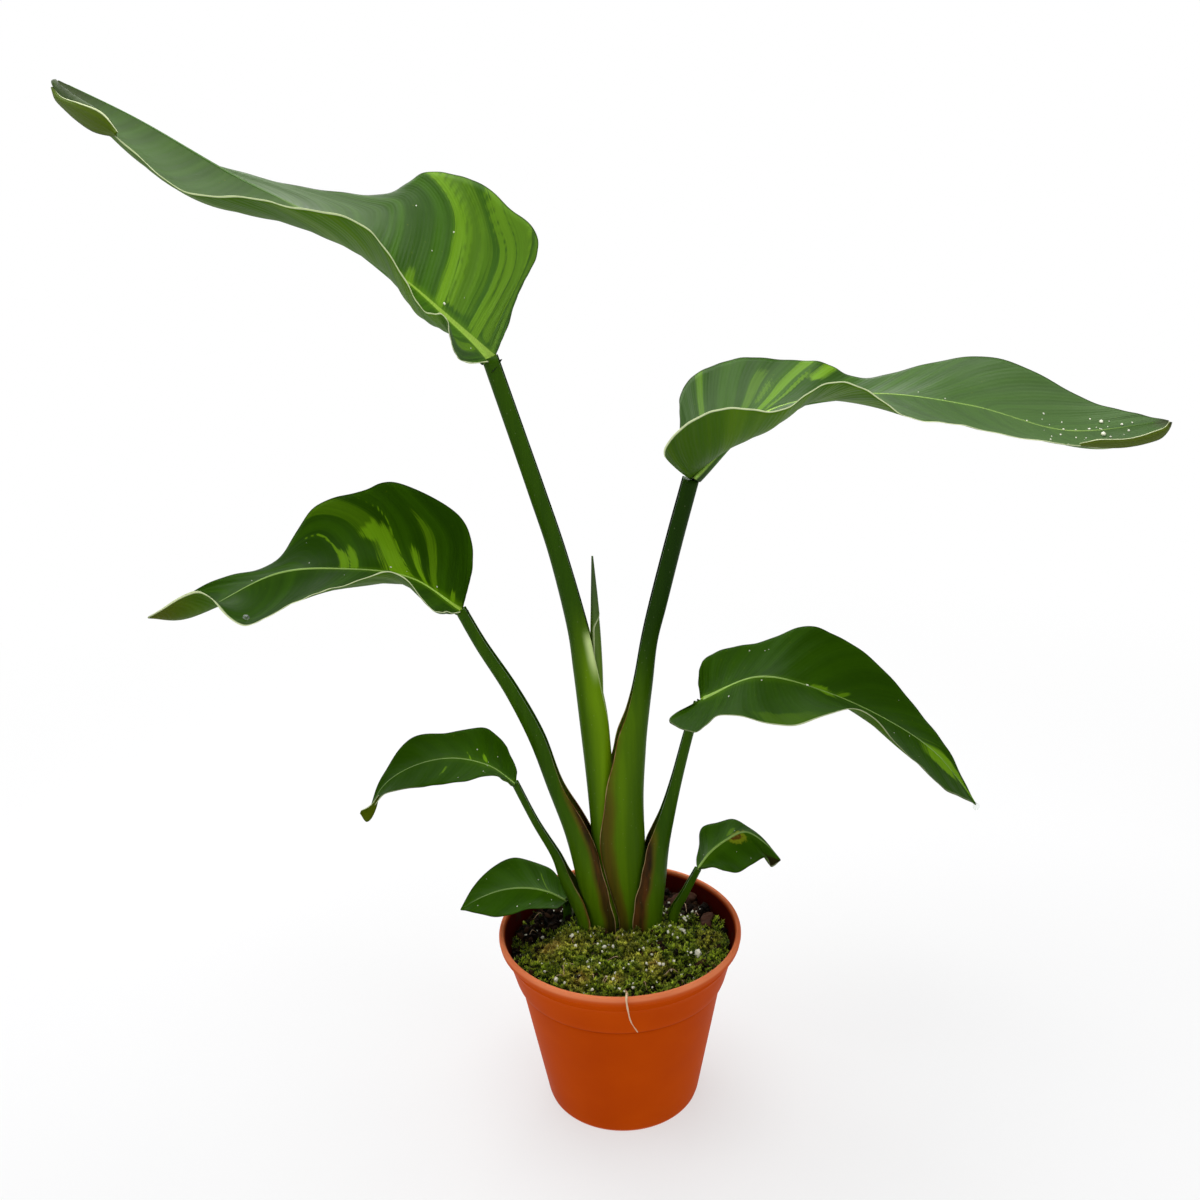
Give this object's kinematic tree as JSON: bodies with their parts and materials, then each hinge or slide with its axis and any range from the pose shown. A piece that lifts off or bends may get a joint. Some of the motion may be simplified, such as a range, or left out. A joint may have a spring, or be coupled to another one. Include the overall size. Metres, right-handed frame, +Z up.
{
  "type": "potted bird of paradise plant",
  "caption": "Young bird of paradise house plant with broad arching leaves on channelled stalks, standing in mossy soil in a round orange nursery pot.",
  "frame": {"origin": "middle of the pot's flat underside", "axes": "+Z up, -Y towards the side that the picture shows, +X to the right seen from there"},
  "size_m": [0.4721, 0.1218, 0.4894],
  "materials": {
    "pot_plastic": "thin moulded terracotta orange plastic, satin",
    "soil": "dark moist peat with bark bits and white perlite grains",
    "moss": "green and yellow-brown moss cushions",
    "root": "pale fleshy root",
    "bark": "rough dark bark",
    "leaf": "satin waxy leaf with a pale midrib, fine side veins and lime streaks",
    "leaf_stalk": "smooth waxy stalk, paler towards its foot, with brown sheath edges",
    "new_leaf": "smooth pale green rolled leaf"
  },
  "bodies": {
    "root": {"pot": "pot_plastic", "soil": "soil", "moss": "moss", "roots": "root", "rootlet": "root", "bark_chip_1": "bark", "bark_chip_2": "bark", "bark_chip_3": "bark", "blade_top_left": "leaf", "blade_top_right": "leaf", "blade_mid_left": "leaf", "blade_mid_right": "leaf", "blade_low_left": "leaf", "blade_base_left": "leaf", "blade_base_right": "leaf", "stalk_top_left": "leaf_stalk", "stalk_top_right": "leaf_stalk", "stalk_mid_left": "leaf_stalk", "stalk_mid_right": "leaf_stalk", "stalk_low_left": "leaf_stalk", "stalk_base_left": "leaf_stalk", "stalk_base_right": "leaf_stalk", "new_leaf_spear": "new_leaf"}
  },
  "joints": []
}
